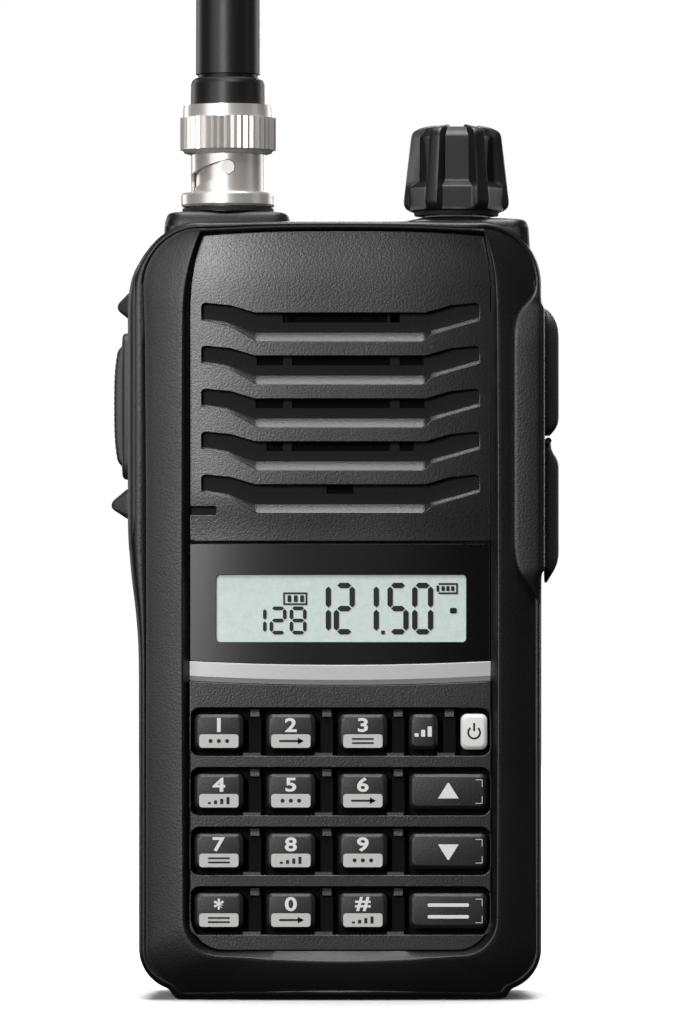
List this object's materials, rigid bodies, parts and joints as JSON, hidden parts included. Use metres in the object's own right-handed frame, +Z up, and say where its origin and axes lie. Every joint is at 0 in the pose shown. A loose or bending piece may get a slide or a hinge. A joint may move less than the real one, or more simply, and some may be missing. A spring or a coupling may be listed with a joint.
{
  "type": "handheld aviation radio",
  "caption": "Handheld two-way radio with a tall rubber antenna on a bayonet connector, a volume knob, a display, a keypad, side keys, a belt clip and a slide-on battery pack",
  "frame": {"origin": "middle of the flat base under the radio, which stands upright", "axes": "+X to the side with the jacks, +Y out of the back towards the belt clip, +Z up along the antenna"},
  "size_m": [0.0655, 0.04, 0.285],
  "materials": {
    "case_plastic": "fine moulded grain",
    "panel_plastic": "fine moulded grain with a soft sheen",
    "mesh_black": "black woven mesh",
    "speaker_steel": "pressed steel",
    "paper_cone": "pressed paper",
    "window_black": "polished dark window",
    "lcd_green": "reflective liquid crystal glass",
    "diffuser": "milky light guide",
    "silver_trim": "silver paint, satin",
    "key_rubber": "silicone rubber",
    "key_plastic": "satin key caps",
    "key_white": "satin key cap",
    "board_green": "fibreglass board",
    "steel": "plain steel",
    "seal_rubber": "soft rubber",
    "grip_rubber": "matte rubber",
    "nickel": "nickel plating, satin",
    "socket_black": "socket body",
    "cover_rubber": "matte rubber",
    "gold_contact": "plated contact",
    "black_screw": "dark plated steel",
    "clip_plastic": "satin moulded plastic",
    "knob_rubber": "satin soft-touch",
    "pack_plastic": "fine moulded grain",
    "cell_wrap": "shrink wrap",
    "antenna_rubber": "smooth satin rubber"
  },
  "bodies": {
    "root": {"front_case": "case_plastic", "face_plate": "panel_plastic", "speaker_mesh": "mesh_black", "speaker_driver": "speaker_steel", "speaker_cone": "paper_cone", "mic_capsule": "speaker_steel", "display_window": "window_black", "lcd_glass": "lcd_green", "lcd_backlight": "diffuser", "trim_strip": "silver_trim", "key_mat": "key_rubber", "logic_board": "board_green", "main_board": "board_green", "side_switches": "steel", "chassis": "case_plastic", "case_seal": "seal_rubber", "side_pad": "grip_rubber", "encoder_body": "steel", "bnc_socket": "nickel", "jack_sockets": "socket_black", "jack_cover_base": "cover_rubber", "radio_terminals": "gold_contact", "screws": "black_screw", "clip_bracket": "clip_plastic", "clip_pin": "steel", "clip_spring": "steel"},
    "knob": {"volume_knob": "knob_rubber", "knob_shaft": "steel"},
    "ptt": {"ptt_button": "grip_rubber"},
    "upper_key": {"side_key_upper": "grip_rubber"},
    "lower_key": {"side_key_lower": "grip_rubber"},
    "flap": {"jack_flap": "cover_rubber"},
    "battery": {"battery_case": "pack_plastic", "battery_lid": "pack_plastic", "battery_cells": "cell_wrap", "battery_terminals": "gold_contact"},
    "latch": {"battery_latch": "clip_plastic"},
    "clip": {"clip_arm": "clip_plastic"},
    "antenna": {"antenna_sheath": "antenna_rubber", "antenna_coil": "gold_contact", "antenna_collar": "antenna_rubber", "bnc_plug": "nickel"},
    "sleeve": {"bnc_sleeve": "nickel"},
    "body_key_1": {"key_1": "key_plastic"},
    "body_key_2": {"key_2": "key_plastic"},
    "body_key_3": {"key_3": "key_plastic"},
    "body_key_monitor": {"key_monitor": "key_plastic"},
    "body_key_power": {"key_power": "key_white"},
    "body_key_4": {"key_4": "key_plastic"},
    "body_key_5": {"key_5": "key_plastic"},
    "body_key_6": {"key_6": "key_plastic"},
    "body_key_up": {"key_up": "key_plastic"},
    "body_key_7": {"key_7": "key_plastic"},
    "body_key_8": {"key_8": "key_plastic"},
    "body_key_9": {"key_9": "key_plastic"},
    "body_key_down": {"key_down": "key_plastic"},
    "body_key_star": {"key_star": "key_plastic"},
    "body_key_0": {"key_0": "key_plastic"},
    "body_key_hash": {"key_hash": "key_plastic"},
    "body_key_mode": {"key_mode": "key_plastic"}
  },
  "joints": [
    {"name": "knob_spin", "type": "hinge", "parent": "root", "child": "knob", "pos_m": [0.017, -0.006, 0.12], "axis": [0, 0, 1], "continuous": true},
    {"name": "ptt_press", "type": "slide", "parent": "root", "child": "ptt", "axis": [1, 0, 0], "range_m": [0, 0.0008], "stiffness_N_per_m": 1000, "springref_m": -0.0005},
    {"name": "upper_key_press", "type": "slide", "parent": "root", "child": "upper_key", "axis": [1, 0, 0], "range_m": [0, 0.0006], "stiffness_N_per_m": 1200, "springref_m": -0.0004},
    {"name": "lower_key_press", "type": "slide", "parent": "root", "child": "lower_key", "axis": [1, 0, 0], "range_m": [0, 0.0006], "stiffness_N_per_m": 1200, "springref_m": -0.0004},
    {"name": "flap_swing", "type": "hinge", "parent": "root", "child": "flap", "pos_m": [0.0304, -0.0035, 0.0814], "axis": [0, -1, 0], "range_deg": [0, 110], "stiffness_Nm_per_rad": 0.01},
    {"name": "battery_slide", "type": "slide", "parent": "root", "child": "battery", "axis": [0, 0, -1], "range_m": [0, 0.012]},
    {"name": "latch_slide", "type": "slide", "parent": "battery", "child": "latch", "axis": [0, 0, 1], "range_m": [0, 0.0018], "stiffness_N_per_m": 600, "springref_m": -0.0006},
    {"name": "clip_open", "type": "hinge", "parent": "root", "child": "clip", "pos_m": [0, 0.0204, 0.096], "axis": [1, 0, 0], "range_deg": [0, 18], "stiffness_Nm_per_rad": 0.8, "springref_deg": -17.19},
    {"name": "antenna_lift", "type": "slide", "parent": "root", "child": "antenna", "axis": [0, 0, 1], "range_m": [0, 0.0021]},
    {"name": "sleeve_turn", "type": "hinge", "parent": "antenna", "child": "sleeve", "pos_m": [-0.0164, -0.006, 0.121], "axis": [0, 0, 1], "range_deg": [0, 75]},
    {"name": "key_1_press", "type": "slide", "parent": "root", "child": "body_key_1", "axis": [0, 1, 0], "range_m": [0, 0.0007], "stiffness_N_per_m": 1500, "springref_m": -0.0003},
    {"name": "key_2_press", "type": "slide", "parent": "root", "child": "body_key_2", "axis": [0, 1, 0], "range_m": [0, 0.0007], "stiffness_N_per_m": 1500, "springref_m": -0.0003},
    {"name": "key_3_press", "type": "slide", "parent": "root", "child": "body_key_3", "axis": [0, 1, 0], "range_m": [0, 0.0007], "stiffness_N_per_m": 1500, "springref_m": -0.0003},
    {"name": "key_monitor_press", "type": "slide", "parent": "root", "child": "body_key_monitor", "axis": [0, 1, 0], "range_m": [0, 0.0007], "stiffness_N_per_m": 1500, "springref_m": -0.0003},
    {"name": "key_power_press", "type": "slide", "parent": "root", "child": "body_key_power", "axis": [0, 1, 0], "range_m": [0, 0.0007], "stiffness_N_per_m": 1500, "springref_m": -0.0003},
    {"name": "key_4_press", "type": "slide", "parent": "root", "child": "body_key_4", "axis": [0, 1, 0], "range_m": [0, 0.0007], "stiffness_N_per_m": 1500, "springref_m": -0.0003},
    {"name": "key_5_press", "type": "slide", "parent": "root", "child": "body_key_5", "axis": [0, 1, 0], "range_m": [0, 0.0007], "stiffness_N_per_m": 1500, "springref_m": -0.0003},
    {"name": "key_6_press", "type": "slide", "parent": "root", "child": "body_key_6", "axis": [0, 1, 0], "range_m": [0, 0.0007], "stiffness_N_per_m": 1500, "springref_m": -0.0003},
    {"name": "key_up_press", "type": "slide", "parent": "root", "child": "body_key_up", "axis": [0, 1, 0], "range_m": [0, 0.0007], "stiffness_N_per_m": 1500, "springref_m": -0.0003},
    {"name": "key_7_press", "type": "slide", "parent": "root", "child": "body_key_7", "axis": [0, 1, 0], "range_m": [0, 0.0007], "stiffness_N_per_m": 1500, "springref_m": -0.0003},
    {"name": "key_8_press", "type": "slide", "parent": "root", "child": "body_key_8", "axis": [0, 1, 0], "range_m": [0, 0.0007], "stiffness_N_per_m": 1500, "springref_m": -0.0003},
    {"name": "key_9_press", "type": "slide", "parent": "root", "child": "body_key_9", "axis": [0, 1, 0], "range_m": [0, 0.0007], "stiffness_N_per_m": 1500, "springref_m": -0.0003},
    {"name": "key_down_press", "type": "slide", "parent": "root", "child": "body_key_down", "axis": [0, 1, 0], "range_m": [0, 0.0007], "stiffness_N_per_m": 1500, "springref_m": -0.0003},
    {"name": "key_star_press", "type": "slide", "parent": "root", "child": "body_key_star", "axis": [0, 1, 0], "range_m": [0, 0.0007], "stiffness_N_per_m": 1500, "springref_m": -0.0003},
    {"name": "key_0_press", "type": "slide", "parent": "root", "child": "body_key_0", "axis": [0, 1, 0], "range_m": [0, 0.0007], "stiffness_N_per_m": 1500, "springref_m": -0.0003},
    {"name": "key_hash_press", "type": "slide", "parent": "root", "child": "body_key_hash", "axis": [0, 1, 0], "range_m": [0, 0.0007], "stiffness_N_per_m": 1500, "springref_m": -0.0003},
    {"name": "key_mode_press", "type": "slide", "parent": "root", "child": "body_key_mode", "axis": [0, 1, 0], "range_m": [0, 0.0007], "stiffness_N_per_m": 1500, "springref_m": -0.0003}
  ],
  "couplings": [
    {"joint": "antenna_lift", "follows": "sleeve_turn", "m_per_rad": 0.0015278}
  ]
}
